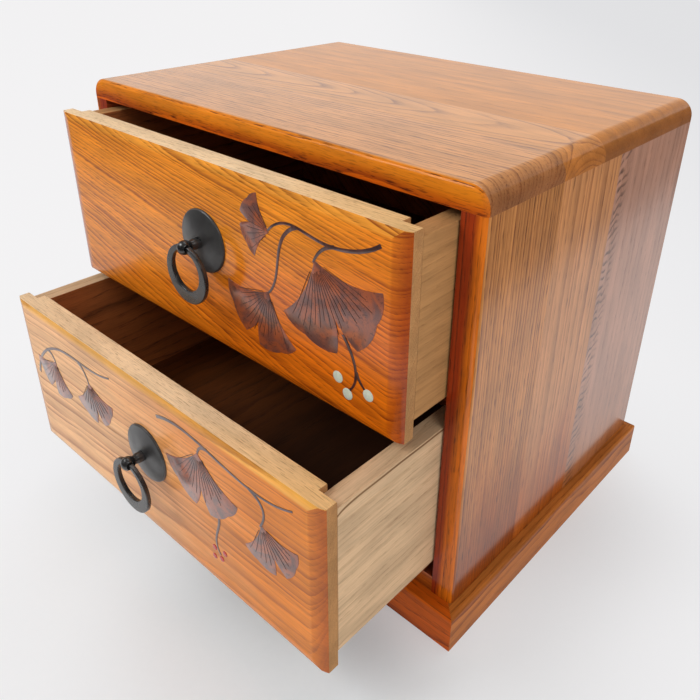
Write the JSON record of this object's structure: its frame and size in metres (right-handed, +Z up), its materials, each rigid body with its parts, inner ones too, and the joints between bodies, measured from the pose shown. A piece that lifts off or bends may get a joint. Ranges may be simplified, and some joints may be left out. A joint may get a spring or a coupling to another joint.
{
  "type": "miniature tansu chest",
  "caption": "Tabletop wooden chest on a plinth with sliding drawers, hanging ring pulls and leaf inlay in the drawer fronts.",
  "frame": {"origin": "on the table, under the middle of the chest's front edge, on the underside of the front plinth rail", "axes": "+X to the right, +Y to the back, +Z up; the drawers open towards -Y"},
  "size_m": [0.2506, 0.2537, 0.2088],
  "materials": {
    "varnished_wood": "glossy clear varnish over orange-brown ring-porous wood",
    "plain_wood": "planed and unfinished",
    "thin_panel": "thin stained panel",
    "dark_wood": "purple-brown inlay wood under varnish",
    "shell": "polished pale shell",
    "red_lacquer": "red lacquer",
    "black_metal": "satin black",
    "zinc_steel": "zinc plated"
  },
  "bodies": {
    "chest": {"top_stave_front": "varnished_wood", "top_stave_middle": "varnished_wood", "top_stave_back": "varnished_wood", "left_side_stave_front": "varnished_wood", "left_side_stave_middle": "varnished_wood", "left_side_stave_back": "varnished_wood", "right_side_stave_front": "varnished_wood", "right_side_stave_middle": "varnished_wood", "right_side_stave_back": "varnished_wood", "bottom_board": "varnished_wood", "divider_panel": "thin_panel", "back_panel": "thin_panel", "lower_runners": "plain_wood", "upper_runners": "plain_wood", "top_dowels": "plain_wood", "plinth_screws": "zinc_steel", "plinth_rail_front": "varnished_wood", "plinth_rail_back": "varnished_wood", "plinth_rail_left": "varnished_wood", "plinth_rail_right": "varnished_wood"},
    "upper_drawer": {"upper_drawer_front": "varnished_wood", "upper_drawer_left_side": "plain_wood", "upper_drawer_right_side": "plain_wood", "upper_drawer_back": "plain_wood", "upper_drawer_bottom": "thin_panel", "upper_inlay_leaves": "dark_wood", "upper_inlay_stems": "dark_wood", "upper_inlay_shells": "shell", "upper_pull_plate": "black_metal", "upper_pull_post": "black_metal", "upper_pull_washer": "zinc_steel", "upper_pull_nut": "zinc_steel"},
    "lower_drawer": {"lower_drawer_front": "varnished_wood", "lower_drawer_left_side": "plain_wood", "lower_drawer_right_side": "plain_wood", "lower_drawer_back": "plain_wood", "lower_drawer_bottom": "thin_panel", "lower_inlay_leaves": "dark_wood", "lower_inlay_stems": "dark_wood", "lower_inlay_beads": "red_lacquer", "lower_pull_plate": "black_metal", "lower_pull_post": "black_metal", "lower_pull_washer": "zinc_steel", "lower_pull_nut": "zinc_steel"},
    "upper_ring": {"upper_pull_ring": "black_metal"},
    "lower_ring": {"lower_pull_ring": "black_metal"}
  },
  "joints": [
    {"name": "upper_drawer_slide", "type": "slide", "parent": "chest", "child": "upper_drawer", "axis": [0, -1, 0], "range_m": [-0.0254, 0.0846]},
    {"name": "lower_drawer_slide", "type": "slide", "parent": "chest", "child": "lower_drawer", "axis": [0, -1, 0], "range_m": [-0.065, 0.045]},
    {"name": "upper_ring_swing", "type": "hinge", "parent": "upper_drawer", "child": "upper_ring", "pos_m": [0, -0.035, 0.163], "axis": [-1, 0, 0], "range_deg": [-19, 199]},
    {"name": "lower_ring_swing", "type": "hinge", "parent": "lower_drawer", "child": "lower_ring", "pos_m": [0, -0.0746, 0.075], "axis": [-1, 0, 0], "range_deg": [-19, 199]}
  ]
}
